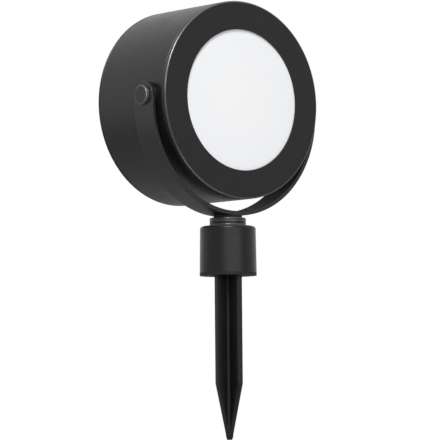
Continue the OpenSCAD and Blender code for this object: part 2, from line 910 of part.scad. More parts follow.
module push_switch() {
    color("#2b2b2e")
        in_head()
            translate([0, -button_y, 0])
                difference() {
                    translate([-switch_w / 2, -switch_w / 2, board_rear])
                        cube([switch_w, switch_w, switch_h]);
                    rod(
                        plunger_d / 2 + run_gap,
                        switch_face - plunger_in - button_travel - tip_room,
                        switch_face + past
                    );
                }
}

module switch_plunger() {
    color("#8a2a22")
        in_head()
            translate([0, -button_y, 0])
                rod(plunger_d / 2, switch_face - plunger_in, button_stem_end);
}

module power_button() {
    color("#3a3a3c")
        in_head()
            translate([0, -button_y, 0]) {
                rotate_extrude()
                    difference() {
                        translate([0, button_flange_rear - eps])
                            square([button_d / 2, head_len + button_proud - button_flange_rear + eps]);
                        translate([button_d / 2, head_len + button_proud])
                            mirror([0, 1])
                                round_cut(button_edge_r);
                    }
                rod(button_d / 2 + button_flange_w, button_flange_front, button_flange_rear);
                rod(button_stem_d / 2, button_stem_end, button_flange_front + eps);
            }
}

module rear_gasket() {
    color("#1c1c1c")
        in_head()
            tube(spigot_r, drum_in_r + plug_gap, rear_mouth, rear_mouth + gasket_t);
}

// The rear cover: a plate with a panel seat, a locating spigot and a button guide
module rear_cover() {
    color("#3a3a3c")
        in_head()
            difference() {
                union() {
                    rotate_extrude()
                        translate([0, head_len])
                            mirror([0, 1])
                                plate_profile(window_r, rear_t);
                    tube(panel_seat_r + panel_wall, window_r, panel_seat_end, rear_plate + rear_t / 2);
                    tube(spigot_r, spigot_r - spigot_t, rear_plate - spigot_len, rear_plate + rear_t / 2);
                    translate([0, -button_y, 0])
                        rod(button_d / 2 + run_gap + guide_wall, guide_end, rear_plate + rear_t / 2);
                }
                rod(panel_seat_r, panel_seat_end - past, lens_rear);
                translate([0, -button_y, 0])
                    rod(button_d / 2 + run_gap, guide_end - past, head_len + past);
                at_rear_screws()
                    translate([0, 0, head_len])
                        mirror([0, 0, 1])
                            flat_screw_hole(screw_d, screw_head_d, 2 * rear_t);
            }
}

module rear_screws() {
    color("#5a5a5c")
        in_head()
            at_rear_screws()
                translate([0, 0, head_len])
                    mirror([0, 0, 1])
                        flat_screw(screw_d, screw_head_d, rear_t + rear_screw_in);
}

module panel_lens() {
    color([0.75, 0.8, 0.85, 0.35])
        in_head()
            rod(panel_r, lens_front, lens_rear);
}

module solar_cells() {
    color("#15172a")
        in_head() {
            pitch = (2 * wafer_r + wafer_gap) / wafer_n;
            for (i = [0 : wafer_n - 1])
                intersection() {
                    rod(wafer_r, wafer_front, lens_front);
                    translate([-wafer_r + i * pitch, -wafer_r, wafer_front])
                        cube([pitch - wafer_gap, 2 * wafer_r, wafer_t]);
                }
        }
}

module panel_board() {
    color("#e2e2de")
        in_head()
            rod(panel_r, panel_board_front, wafer_front);
}

// A straight piece of wire along +Z; its children go on from its end
module wire_run(len) {
    rod(lead_r, 0, len);
    translate([0, 0, len])
        children();
}

// A quarter bend of a wire from +Z to the side: -Y at 0 degrees, +X at 90, +Y at 180;
// its children go on from its end
module wire_bend(r, side) {
    rotate([0, 0, side]) {
        translate([0, -r, 0])
            rotate([90, 0, 90])
                rotate_extrude(angle = 90)
                    translate([r, 0])
                        circle(r = lead_r);
        translate([0, -r, r])
            rotate([90, 0, 0])
                children();
    }
}

// The wires of one pole: light board, panel and battery to the control board
module pole_leads() {
    translate([lead_pitch / 2, -lead_web_y, led_board_rear])
        wire_run(light_lead_run)
            wire_bend(lead_bend, 0)
                wire_run(light_lead_drop)
                    wire_bend(light_lead_bend, 180);
    translate([lead_pitch / 2, 2 * panel_lead_bend - lead_joint_y, panel_board_front])
        mirror([0, 0, 1])
            wire_run(panel_lead_run)
                wire_bend(panel_lead_bend, 0)
                    wire_bend(panel_lead_bend, 180)
                        wire_run(panel_lead_run);
    translate([battery_lead_x, cell_y, battery_lead_start])
        wire_run(board_rear - battery_lead_start)
            wire_bend(battery_lead_bend, 0)
                wire_run(battery_lead_drop)
                    wire_bend(lead_bend, -90)
                        wire_run(battery_lead_in)
                            wire_bend(battery_lead_bend, 90);
}

module plus_leads() {
    color("#a02a24")
        in_head()
            pole_leads();
}

module minus_leads() {
    color("#1b1b1d")
        in_head()
            mirror([1, 0, 0])
                pole_leads();
}

// Shouldered pins with plain rounded heads, one on each side
module pivot_pins() {
    color("#3c3c3e")
        at_pivots() {
            rod(pin_thread_d / 2, pin_end_x, pivot_boss_x + past);
            rod(pin_d / 2, pivot_boss_x + pin_step, strap_out_r + face_gap + eps);
            translate([0, 0, strap_out_r + face_gap])
                rotate_extrude()
                    difference() {
                        square([pin_head_d / 2, pin_head_h]);
                        translate([pin_head_d / 2, pin_head_h])
                            mirror([0, 1])
                                round_cut(pin_head_edge);
                    }
        }
}

module pivot_spacers() {
    color("#2a2a2c")
        at_pivots()
            tube(spacer_d / 2, pin_d / 2 + run_gap, head_r + pad_proud, head_r + pad_proud + spacer_t);
}

module pivot_washers() {
    color("#b8b8ba")
        at_pivots()
            tube(
                pivot_washer_d / 2,
                pin_thread_d / 2 + run_gap,
                pivot_boss_x - pivot_washer_t,
                pivot_boss_x
            );
}

module pivot_nuts() {
    color("#b8b8ba")
        at_pivots()
            translate([0, 0, pivot_boss_x - pivot_washer_t - pivot_nut_h])
                nut(pivot_nut_af, pin_thread_d, pivot_nut_h);
}

// The strap's cross-section with rounded edges: X is its thickness, Y its width
module strap_section() {
    difference() {
        translate([0, -strap_w / 2])
            square([strap_t, strap_w]);
        for (side = [0, 1])
            mirror([0, side])
                translate([0, -strap_w / 2]) {
                    translate([strap_t, 0])
                        round_cut(strap_edge);
                    mirror([1, 0])
                        round_cut(strap_edge);
                }
    }
}

// One upright arm of the strap with its full-round end, on the +X side
module strap_arm() {
    translate([strap_in_r, 0, bend_z])
        linear_extrude(height = arm_len)
            strap_section();
    translate([strap_in_r, 0, pivot_z])
        rotate([0, 90, 0])
            rotate([0, 0, 90])
                rotate_extrude(angle = 180)
                    intersection() {
                        rotate([0, 0, 90])
                            mirror([0, 1])
                                strap_section();
                        square([strap_w, strap_t]);
                    }
}

// The flat strap bent to a U: half a turn at the bottom, two straight arms with round ends
module yoke_strap() {
    color("#414143")
        difference() {
            union() {
                translate([0, 0, bend_z])
                    rotate([90, 0, 0])
                        rotate([0, 0, 180])
                            rotate_extrude(angle = 180)
                                translate([strap_in_r, 0])
                                    strap_section();
                strap_arm();
                mirror([1, 0, 0])
                    strap_arm();
            }
            at_pivots()
                rod(pin_d / 2 + run_gap, strap_in_r - past, strap_out_r + past);
            translate([0, 0, strap_floor_z])
                mirror([0, 0, 1])
                    flat_screw_hole(yoke_screw_d, yoke_screw_head_d, strap_t + past);
            rod(yoke_screw_head_d / 2 + run_gap, strap_floor_z - eps, strap_floor_z + past);
        }
}

module yoke_screw() {
    color("#5a5a5c")
        translate([0, 0, strap_floor_z])
            mirror([0, 0, 1])
                flat_screw(yoke_screw_d, yoke_screw_head_d, yoke_screw_len);
}

// The stem: a saddle shaped to the strap, a flange, a shank and a threaded end
module swivel_stem() {
    color("#37373a")
        difference() {
            union() {
                rod(saddle_d / 2, upper_flange_top - eps, strap_under_z + saddle_h);
                translate([0, 0, stem_shoulder])
                    rotate_extrude()
                        difference() {
                            square([flange_d / 2, upper_flange_t]);
                            translate([flange_d / 2, upper_flange_t])
                                mirror([0, 1])
                                    round_cut(flange_edge);
                            translate([flange_d / 2, 0])
                                bevel_cut(flange_groove);
                        }
                rod(stem_d / 2, stem_end_shank, stem_shoulder + eps);
                rod(stem_thread_d / 2, stem_tip, stem_end_shank + eps);
            }
            translate([0, strap_w, bend_z])
                rotate([90, 0, 0])
                    cylinder(h = 2 * strap_w, r = strap_out_r);
            rod(yoke_screw_d / 2 + run_gap, strap_floor_z - yoke_screw_hole, strap_floor_z);
        }
}

module stem_washer() {
    color("#b8b8ba")
        tube(
            stem_washer_d / 2,
            stem_d / 2 + run_gap,
            stem_washer_z,
            stem_washer_z + stem_washer_t
        );
}

// A cone-shaped spring washer that keeps the swivel stiff
module stem_spring() {
    color("#9a9a9c")
        translate([0, 0, stem_spring_z])
            rotate_extrude()
                polygon([
                    [spring_hole_r, 0],
                    [spring_hole_r + spring_rim_w, 0],
                    [stem_spring_d / 2, stem_spring_h - stem_spring_t],
                    [stem_spring_d / 2, stem_spring_h],
                    [stem_spring_d / 2 - spring_rim_w, stem_spring_h],
                    [spring_hole_r, stem_spring_t]
                ]);
}

module stem_nut() {
    color("#b8b8ba")
        translate([0, 0, stem_nut_z])
            nut(stem_nut_af, stem_thread_d, stem_nut_h);
}

// A flanged bush that lines the hole in the collar's top
module swivel_bush() {
    color("#2d2d30")
        difference() {
            union() {
                translate([0, 0, collar_top])
                    rotate_extrude()
                        difference() {
                            square([flange_d / 2, lower_flange_t]);
                            translate([flange_d / 2, lower_flange_t])
                                bevel_cut(flange_groove);
                        }
                rod(bush_d / 2, bush_end, collar_top + eps);
            }
            rod(stem_d / 2 + run_gap, bush_end - past, bush_top + past);
        }
}

// The collar: a slightly tapered shell with a rounded top edge, a hollow for the swivel
// nut and a socket with a snap groove for the spike's plug
module collar() {
    color("#38383a")
        difference() {
            translate([0, 0, collar_z])
                rotate_extrude() {
                    polygon([
                        [0, 0],
                        [collar_foot_d / 2, 0],
                        [collar_top_d / 2, collar_h - collar_edge],
                        [0, collar_h - collar_edge]
                    ]);
                    difference() {
                        translate([0, collar_h - collar_edge - eps])
                            square([collar_top_d / 2, collar_edge + eps]);
                        translate([collar_top_d / 2, collar_h])
                            mirror([0, 1])
                                round_cut(collar_edge);
                    }
                }
            rod(bush_d / 2 + run_gap, hollow_top - past, collar_top + past);
            rod(hollow_r, collar_z + past, hollow_top);
            rod(socket_r, collar_z - past, socket_top);
            rod(socket_r + bead_reach, bead_z - bead_h / 2 - plug_gap, bead_z + bead_h / 2 + plug_gap);
        }
}

// The cross-shaped section of the spike, with fillets between its fins
module fin_section() {
    difference() {
        square([fin_t + 2 * fin_fillet, fin_t + 2 * fin_fillet], center = true);
        for (a = [0 : 90 : 270])
            rotate([0, 0, a])
                translate([fin_t / 2 + fin_fillet, fin_t / 2 + fin_fillet])
                    circle(r = fin_fillet);
    }
    square([fin_span, fin_t], center = true);
    square([fin_t, fin_span], center = true);
}

// A wide wedge with the spike's pointed side view, seen along Y
module point_wedge() {
    translate([0, fin_span, 0])
        rotate([90, 0, 0])
            linear_extrude(height = 2 * fin_span)
                polygon([
                    [-fin_span / 2, collar_z / 2],
                    [fin_span / 2, collar_z / 2],
                    [fin_span / 2, point_len - spike_len],
                    [tip_w / 2, -spike_len],
                    [-tip_w / 2, -spike_len],
                    [-fin_span / 2, point_len - spike_len]
                ]);
}

// The spike: a hollow plug with a snap bead, a flange at ground level and four fins
module spike() {
    color("#232325") {
        intersection() {
            translate([0, 0, -spike_len - past])
                linear_extrude(height = spike_len + past + eps)
                    fin_section();
            point_wedge();
            rotate([0, 0, 90])
                point_wedge();
        }
        rod(collar_foot_d / 2, ground_z, collar_z);
        difference() {
            union() {
                rod(plug_r, collar_z - eps, plug_top);
                rod(plug_r + bead_reach, bead_z - bead_h / 2, bead_z + bead_h / 2);
            }
            rod(plug_r - plug_wall, collar_z + plug_floor, plug_top + past);
        }
    }
}

front_ring();
diffuser();
diffuser_gasket();
reflector();
leds();
led_board();
led_screws();
ring_gasket();
ring_screws();
lamp_housing();
battery_holder();
holder_screws();
battery_contacts();
battery_cell();
control_board();
board_parts();
board_screws();
push_switch();
switch_plunger();
power_button();
rear_gasket();
rear_cover();
rear_screws();
panel_lens();
solar_cells();
panel_board();
plus_leads();
minus_leads();
pivot_pins();
pivot_spacers();
pivot_washers();
pivot_nuts();
yoke_strap();
yoke_screw();
swivel_stem();
stem_washer();
stem_spring();
stem_nut();
swivel_bush();
collar();
spike();
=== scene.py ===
# %% [markdown]
# # A solar spike light
#
# A round lamp head hangs in a flat strap that is bent to a U. The strap turns on a short
# stem in a plastic collar, and the collar is pushed onto a four-finned ground spike.
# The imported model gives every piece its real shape, place and joint. This lesson adds
# what the eye needs: finishes worked out from real surfaces, a thin ring and a few small
# domes and fillets, light, and a camera where the photographer stood.

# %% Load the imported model
import math

import bmesh
import bpy
import numpy as np
from mathutils import Matrix, Vector


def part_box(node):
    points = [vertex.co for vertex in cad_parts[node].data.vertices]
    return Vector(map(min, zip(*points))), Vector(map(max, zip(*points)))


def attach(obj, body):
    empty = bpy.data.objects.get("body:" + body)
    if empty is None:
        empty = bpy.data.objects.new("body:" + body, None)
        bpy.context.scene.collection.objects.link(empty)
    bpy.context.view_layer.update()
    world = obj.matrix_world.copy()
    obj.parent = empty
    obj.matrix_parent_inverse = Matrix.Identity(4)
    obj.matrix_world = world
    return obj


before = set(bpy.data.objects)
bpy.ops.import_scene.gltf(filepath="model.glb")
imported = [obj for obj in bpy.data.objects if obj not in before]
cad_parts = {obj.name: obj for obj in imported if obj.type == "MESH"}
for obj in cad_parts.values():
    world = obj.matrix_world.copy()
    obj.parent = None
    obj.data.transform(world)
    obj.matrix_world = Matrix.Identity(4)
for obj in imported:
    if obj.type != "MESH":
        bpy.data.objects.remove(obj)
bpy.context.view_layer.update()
MM = 0.001

# %% [markdown]
# ## Where the pieces are
#
# Patterns such as the solar cells' silver lines have to sit on the piece, so they need
# its middle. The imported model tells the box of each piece, and the middle of that box is
# the centre that a pattern is drawn around.

# %% Centres
def centre_of(node):
    """The middle of a piece's box in metres: half of the sum of its two corners."""
    low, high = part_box(node)
    return (np.array(low) + np.array(high)) / 2


head_centre = centre_of("diffuser")
print("the head's axis is", round(head_centre[2] / MM, 2), "mm above the ground")

# %% [markdown]
# ## Helpers for finishes
#
# Colours are written as the hex values that a paint chart uses. The renderer counts in
# linear light, so one function turns the first into the second. A second function adds a
# shader node with its settings and its links, so that each material below reads as a
# short list from the surface coordinates to the finished shader.

# %% Colour and node helpers
def linear(hex_colour):
    """sRGB hex to linear: c / 12.92 below 0.04045, else ((c + 0.055) / 1.055) ** 2.4."""
    c = np.array([int(hex_colour[i:i + 2], 16) for i in (1, 3, 5)]) / 255
    c = np.where(c <= 0.04045, c / 12.92, ((c + 0.055) / 1.055) ** 2.4)
    return (*c.tolist(), 1.0)


def add(tree, kind, inputs=None, **settings):
    """Adds one node; an input is a plain value or the output socket of another node."""
    node = tree.nodes.new(kind)
    for key, value in settings.items():
        setattr(node, key, value)
    for key, value in (inputs or {}).items():
        if isinstance(value, bpy.types.NodeSocket):
            tree.links.new(value, node.inputs[key])
        else:
            node.inputs[key].default_value = value
    return node


def new_material(name):
    """An empty material with its output, its shader and the object's own coordinates."""
    material = bpy.data.materials.new(name)
    material.use_nodes = True
    tree = material.node_tree
    tree.nodes.clear()
    shader = add(tree, "ShaderNodeBsdfPrincipled")
    add(tree, "ShaderNodeOutputMaterial", {"Surface": shader.outputs[0]})
    place = add(tree, "ShaderNodeTexCoord").outputs["Object"]
    return material, tree, shader, place


def dress(material, *nodes):
    """Puts a finish on the pieces of these names."""
    for node in nodes:
        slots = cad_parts[node].data.materials
        slots.clear()
        slots.append(material)
    print(material.name, "on", ", ".join(nodes))


print("helpers: linear, add, new_material, dress")

# %% [markdown]
# ## A grained surface
#
# Paint, moulded plastic, rubber and plated steel all have a fine relief. Powder coat
# flows into a shallow orange peel about a millimetre across, a mould is etched to a grain
# of a few tenths, and rolled or turned steel carries fine lines. All of them can be made
# from noise in the object's own coordinates at a real grain size: it moves the tone a
# little, makes the gloss uneven, and lifts the surface by a few hundredths of a
# millimetre. Painting an image would be the other way, but noise never repeats and needs
# no unwrapping. Dark pigmented plastics and paints have an IOR near 1.5. The pits of a
# fine grain swallow part of the mirror light, which the specular level stands for.

# %% The grained finish
BROAD = 12  # how many times coarser the slow unevenness is than the grain
UNEVEN = 0.05  # how far the roughness strays from its mean
NOISE_LOW, NOISE_HIGH = 0.7, 1.3  # what the sum of the two noises seldom leaves


def grained(name, colour, roughness, grain, relief, tone=0.12, metallic=0.0, level=0.5,
            stretch=(1, 1, 1)):
    """Noise of the real grain size in mm drives tone, gloss and a relief in mm."""
    material, tree, shader, place = new_material(name)
    place = add(tree, "ShaderNodeMapping", {"Vector": place, "Scale": stretch}).outputs[0]
    fine, broad = (
        add(tree, "ShaderNodeTexNoise", {"Vector": place, "Scale": 1 / (size * MM), "Detail": detail})
        for size, detail in ((grain, 3.0), (BROAD * grain, 2.0)))
    mixed = add(tree, "ShaderNodeMath", {0: fine.outputs[0], 1: broad.outputs[0]}, operation="ADD")
    spread = {"Value": mixed.outputs[0], "From Min": NOISE_LOW, "From Max": NOISE_HIGH}
    tint = add(tree, "ShaderNodeMapRange", {**spread, "To Min": 1 - tone, "To Max": 1 + tone})
    shade = add(tree, "ShaderNodeVectorMath", {0: linear(colour)[:3], "Scale": tint.outputs[0]},
                operation="SCALE")
    gloss = add(tree, "ShaderNodeMapRange", {
        **spread, "To Min": roughness - UNEVEN, "To Max": roughness + UNEVEN})
    bump = add(tree, "ShaderNodeBump", {"Height": fine.outputs[0], "Distance": relief * MM})
    for socket, value in (("Base Color", shade), ("Roughness", gloss), ("Normal", bump)):
        tree.links.new(value.outputs[0], shader.inputs[socket])
    shader.inputs["Metallic"].default_value = metallic
    shader.inputs["Specular IOR Level"].default_value = level
    return material


print("helper: grained")

# %% [markdown]
# ## One finish over another
#
# Many pieces wear two finishes: silver lines on silicon, tracks under solder mask. Some
# also carry a painted highlight on their edges and painted shade in their hollows. Two
# materials on one mesh would need the mesh to be cut. Instead, a mask worked out from
# places in millimetres blends the second finish over the first, and lifts it by its height.
# Each mask fades over a tenth or two of a millimetre, because no real edge is cut that
# sharply. So two helpers are enough: one gives places and distances in millimetres from a
# centre, the other lays a finish over what is there.

# %% Masks in millimetres and the upper finish
def measured(material, centre, keep=(1, 1, 1)):
    """Place minus centre in mm along the axes that are kept, and the length of that."""
    tree = material.node_tree
    place = next(n for n in tree.nodes if n.type == "TEX_COORD").outputs["Object"]
    moved = add(tree, "ShaderNodeMapping", {
        "Vector": place,
        "Location": [-c * k / MM for c, k in zip(centre, keep)],
        "Scale": [k / MM for k in keep]}).outputs[0]
    axes = add(tree, "ShaderNodeSeparateXYZ", {0: moved}).outputs
    length = add(tree, "ShaderNodeVectorMath", {0: moved}, operation="LENGTH").outputs["Value"]
    return tree, axes, length


def lay_over(material, mask, colour, roughness, metallic=0.0, raised=0.0):
    """Mixes in a second colour, roughness and metal where the mask is 1, raised by mm."""
    tree = material.node_tree
    shader = next(n for n in tree.nodes if n.type == "BSDF_PRINCIPLED")
    finish = {"Base Color": linear(colour), "Roughness": roughness, "Metallic": metallic}
    for name, value in finish.items():
        socket = shader.inputs[name]
        before = socket.links[0].from_socket if socket.is_linked else socket.default_value
        kind, first, out = ("RGBA", 6, 2) if name == "Base Color" else ("FLOAT", 2, 0)
        if before != value:
            mix = add(tree, "ShaderNodeMix", {0: mask, first: before, first + 1: value}, data_type=kind)
            tree.links.new(mix.outputs[out], socket)
    if raised:
        below = shader.inputs["Normal"].links[0].from_socket
        step = add(tree, "ShaderNodeBump", {"Height": mask, "Distance": raised * MM, "Normal": below})
        tree.links.new(step.outputs[0], shader.inputs["Normal"])


print("helpers: measured, lay_over")

# %% [markdown]
# ## Powder coat on the head and the yoke
#
# The drum, ring, cover, strap and pins are metal with a near-black polyester powder coat.
# The powder melts into a satin skin: smooth enough for a soft highlight along each
# rounded edge, with an orange peel that only shows as a faint unevenness. The ring and
# the cover get a finer copy of the coat, drawn darker than the drum's: painted shade. A
# metallic shader would be wrong for the faces, because no bare metal shows through the
# paint there.

# %% Powder coat
# The ring's coat is drawn darker than the drum's: painted shade.
ring_coat = grained("polyester_powder_coat_ring", "#0e0e0f", 0.33, 0.9, 0.006, level=0.27)
drum_coat = grained("polyester_powder_coat_drum", "#131314", 0.37, 0.9, 0.008, level=0.34)
yoke_coat = grained("polyester_powder_coat_yoke", "#131314", 0.38, 0.9, 0.008, level=0.4)
dress(ring_coat, "front_ring", "rear_cover")
dress(drum_coat, "lamp_housing")
dress(yoke_coat, "yoke_strap")

# %% [markdown]
# ## Painted shade on the strap's inner face
#
# The strap's inner face, in the hollow of the bend, is drawn darker than its outer faces,
# which is painted shade, and rougher. That face is a half circle with two straight arms
# above it. Measuring the height only below the bend's centre turns both into one question:
# how far a point is from that centre.

# %% Inner face of the strap
STRAP_T = 2.25  # thickness of the strap, mm
strap_low, strap_high = np.array(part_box("yoke_strap")) / MM
bend_r = strap_high[0] - STRAP_T
bend_centre = strap_low[2] + strap_high[0]
tree, axes, _ = measured(yoke_coat, (0, 0, bend_centre * MM))
below = add(tree, "ShaderNodeMath", {0: axes[2], 1: 0.0}, operation="MINIMUM")
across = add(tree, "ShaderNodeCombineXYZ", {0: axes[0], 2: below.outputs[0]})
reach = add(tree, "ShaderNodeVectorMath", {0: across.outputs[0]}, operation="LENGTH")
inner = add(tree, "ShaderNodeMapRange", {
    "Value": reach.outputs["Value"], "From Min": bend_r + 0.2, "From Max": bend_r + 0.1})
# Painted shade: the strap's inner face is drawn darker, and rougher.
lay_over(yoke_coat, inner.outputs[0], "#0c0c0d", 0.65)
print("inner radius of the bend", round(bend_r, 2), "mm")

# %% [markdown]
# ## Painted highlight on the rims
#
# The head's two rounded rims are drawn in a lighter, partly metallic and glossier grey
# than the satin faces: a painted highlight. The rims are the only places that
# are far from the head's axis and far from its middle at once. So the mask adds those two
# distances and starts a little inside the corner that the rounding takes away. The painted
# highlight is strong from the tilt axis up and at the very bottom, and weaker between them.

# %% Rims of the ring and the cover
EDGE_R = 1.0  # radius of the rounded rims, mm
RIM_FROM, RIM_FULL = 1.15, 1.36  # where the painted highlight begins and is full past the flats, in those radii
HIGHLIGHT_ABOVE, HIGHLIGHT_BELOW = (0, 7), (-24, -32)  # heights over the tilt axis where the painted highlight begins and is full, mm
HIGHLIGHT_BETWEEN = 0.35  # share of the painted highlight between those heights
head_low, head_high = np.array(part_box("front_ring")[0]), np.array(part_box("rear_cover")[1])
head_middle = (head_low + head_high) / 2
rim_r, _, _ = head_high / MM
half_length = (head_high - head_low)[1] / 2 / MM
tree, _, radius = measured(ring_coat, head_middle, (1, 0, 1))
_, axes, _ = measured(ring_coat, head_middle)
along = add(tree, "ShaderNodeMath", {0: axes[1]}, operation="ABSOLUTE").outputs[0]
corner = add(tree, "ShaderNodeMath", {0: radius, 1: along}, operation="ADD").outputs[0]
flats = rim_r + half_length - 2 * EDGE_R
rim = add(tree, "ShaderNodeMapRange", {
    "Value": corner,
    "From Min": flats + RIM_FROM * EDGE_R,
    "From Max": flats + RIM_FULL * EDGE_R}, interpolation_type="SMOOTHSTEP").outputs[0]
highlight_ramp = [
    add(tree, "ShaderNodeMapRange", {"Value": axes[2], "From Min": start, "From Max": full}).outputs[0]
    for start, full in (HIGHLIGHT_ABOVE, HIGHLIGHT_BELOW)]
either = add(tree, "ShaderNodeMath", {0: highlight_ramp[0], 1: highlight_ramp[1]}, operation="MAXIMUM").outputs[0]
share = add(tree, "ShaderNodeMapRange", {"Value": either, "To Min": HIGHLIGHT_BETWEEN, "To Max": 1.0}).outputs[0]
rim_highlight = add(tree, "ShaderNodeMath", {0: rim, 1: share}, operation="MULTIPLY")
# Painted highlight: a lighter, partly metallic and glossier grey along the rims.
lay_over(ring_coat, rim_highlight.outputs[0], "#68686a", 0.22, metallic=0.6)
print("rim radius", round(rim_r, 2), "mm, half length", round(half_length, 2), "mm")

# %% [markdown]
# ## Painted highlight on the pivot's heads
#
# The round heads of the pivot pins are turned steel under the same paint. Their edges get
# a narrow ring of lighter, partly metallic and glossier grey: a painted highlight. The
# ring is everything that is further from the tilt axis than the flat of the head.

# %% Pivot pins
# A lighter, partly metallic and glossier grey that paints a highlight on rounded edges
PAINTED_HIGHLIGHT = {"colour": "#6c6c6e", "roughness": 0.2, "metallic": 0.6}
PIN_FLAT_R = 4.15  # radius of the flat of a pin's head, mm
pin_coat = grained("polyester_powder_coat_pin", "#131314", 0.36, 0.9, 0.006, level=0.36)
tree, _, radius = measured(pin_coat, (0, 0, head_centre[2]), (0, 1, 1))
ring = add(tree, "ShaderNodeMapRange", {
    "Value": radius, "From Min": PIN_FLAT_R, "From Max": PIN_FLAT_R + 0.25})
# Painted highlight on the rim of each head
lay_over(pin_coat, ring.outputs[0], **PAINTED_HIGHLIGHT)
dress(pin_coat, "pivot_pins")

# %% [markdown]
# ## The stem, with painted shade above its flange
#
# Below the strap the stem carries a painted flange, and above the flange a saddle fills the
# space up to the strap's round underside. Both are one piece in the model. Above the
# flange's top the stem is drawn in a darker, matt black: painted shade under the strap.
# The flange's two rounded edges get the same painted highlight as the pins: they are what
# lies far from the flange's middle height.

# %% Stem
FLANGE_T = 2.1  # thickness of the stem's flange, mm
HIGHLIGHT_FROM, HIGHLIGHT_FULL = 0.45, 0.25  # depths under a flange's face where the painted highlight begins and is full, mm
stem_coat = grained("painted_steel_stem", "#131314", 0.34, 0.9, 0.006, level=0.4)
flange_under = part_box("swivel_bush")[1][2] / MM
flange_top = flange_under + FLANGE_T
tree, axes, _ = measured(stem_coat, (0, 0, (flange_under + FLANGE_T / 2) * MM))
off = add(tree, "ShaderNodeMath", {0: axes[2]}, operation="ABSOLUTE").outputs[0]
edges = add(tree, "ShaderNodeMapRange", {
    "Value": off, "From Min": FLANGE_T / 2 - HIGHLIGHT_FROM, "From Max": FLANGE_T / 2 - HIGHLIGHT_FULL})
# Painted highlight on the flange's two rounded edges
lay_over(stem_coat, edges.outputs[0], **PAINTED_HIGHLIGHT)
tree, axes, _ = measured(stem_coat, (0, 0, 0))
# Painted shade: a darker, matt black above the flange, under the strap
saddle_shade = add(tree, "ShaderNodeMapRange", {
    "Value": axes[2], "From Min": flange_top, "From Max": flange_top + 0.15})
lay_over(stem_coat, saddle_shade.outputs[0], "#050505", 0.75)
dress(stem_coat, "swivel_stem")
print("rubber above", round(flange_top, 2), "mm")

# %% [markdown]
# ## Moulded plastics outside
#
# The collar and its bush are glass-filled nylon from an etched mould: matt, with a grain
# of half a millimetre. The spike is a plain black polypropylene from a polished mould, so
# it is smoother, and the flow of the melt leaves its gloss a little uneven along its
# length. The grain of the collar is drawn at its real size, and the flow marks of the
# spike as noise stretched along the spike's axis. The upper part of the collar's rounded
# edge, high up and outside its flat top, gets a painted highlight.

# %% Collar, bush and the sliding spacers
collar_nylon = grained("glass_filled_nylon_collar", "#060607", 0.34, 0.45, 0.02, tone=0.2, level=0.26)
bush_nylon = grained("glass_filled_nylon_bush", "#060607", 0.34, 0.45, 0.02, tone=0.2, level=0.26)
dress(collar_nylon, "collar")
dress(bush_nylon, "swivel_bush")
dress(grained("acetal_spacer", "#19191a", 0.3, 0.8, 0.004), "pivot_spacers")

# %% The collar's upper edge, with a painted highlight
COLLAR_FLAT_R = 12.1  # radius at which the collar's flat top ends, mm
LIP_FROM, LIP_FULL = -0.5, -0.25  # heights over the collar's top where the painted highlight begins and is full, mm
collar_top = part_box("collar")[1][2] / MM
tree, axes, _ = measured(collar_nylon, (0, 0, collar_top * MM))
_, _, radius = measured(collar_nylon, (0, 0, 0), (1, 1, 0))
high = add(tree, "ShaderNodeMapRange", {
    "Value": axes[2], "From Min": LIP_FROM, "From Max": LIP_FULL}).outputs[0]
outer = add(tree, "ShaderNodeMapRange", {
    "Value": radius, "From Min": COLLAR_FLAT_R, "From Max": COLLAR_FLAT_R + 0.2}).outputs[0]
lip = add(tree, "ShaderNodeMath", {0: high, 1: outer}, operation="MULTIPLY")
# Painted highlight on the upper part of the collar's rounded edge
lay_over(collar_nylon, lip.outputs[0], **PAINTED_HIGHLIGHT)
print("collar top", round(collar_top, 2), "mm")

# %% Spike, drawn darker and matt where its fins meet and on its flange: painted shade
ROOT_R = 2.5  # distance from the spike's axis inside which the fins' roots get painted shade, mm
FLANGE_FROM = -0.3  # height just under the flange at which its painted shade begins, mm
spike_plastic = grained("polypropylene_spike", "#070708", 0.3, 1.4, 0.008, level=0.34,
                        stretch=(1, 1, 0.25))
tree, _, radius = measured(spike_plastic, (0, 0, 0), (1, 1, 0))
root = add(tree, "ShaderNodeMapRange", {"Value": radius, "From Min": ROOT_R, "From Max": ROOT_R - 0.4})
_, axes, _ = measured(spike_plastic, (0, 0, 0))
flange = add(tree, "ShaderNodeMapRange", {
    "Value": axes[2], "From Min": FLANGE_FROM, "From Max": FLANGE_FROM + 0.2})
matt = add(tree, "ShaderNodeMath", {0: root.outputs[0], 1: flange.outputs[0]}, operation="MAXIMUM")
# Painted shade: darker and matt at the fins' roots and on the flange
lay_over(spike_plastic, matt.outputs[0], "#040405", 0.7)
dress(spike_plastic, "spike")

# %% [markdown]
# ## The opal diffuser
#
# The light shines through a disc of opal acrylic, cast smooth and filled with a white
# powder that scatters the light of the diodes. Unlit, it is a plain white, drawn a touch
# darker and cooler towards its edge. Light scattering inside it could be computed, but a
# plain white body looks the same from outside and stays clean at few samples.

# %% Opal acrylic
OPENING_R = 34.45  # radius of the ring's opening, mm
opal = grained("opal_acrylic_diffuser", "#ebebeb", 0.32, 8.0, 0.004, tone=0.0, level=0.35)
tree, _, radius = measured(opal, head_centre, (1, 0, 1))
edge = add(tree, "ShaderNodeMapRange", {"Value": radius, "From Max": OPENING_R},
           interpolation_type="SMOOTHSTEP")
lay_over(opal, edge.outputs[0], "#e8e9eb", 0.3)
dress(opal, "diffuser")

# %% [markdown]
# ## Rubber seals and the button
#
# Three silicone seals keep water out of the head, and the push button on the back is a
# cap of softer, slightly greyer silicone. Silicone has a low, even sheen, and dust makes
# its tone patchy. A fine grain of a third of a millimetre and a high roughness give that.

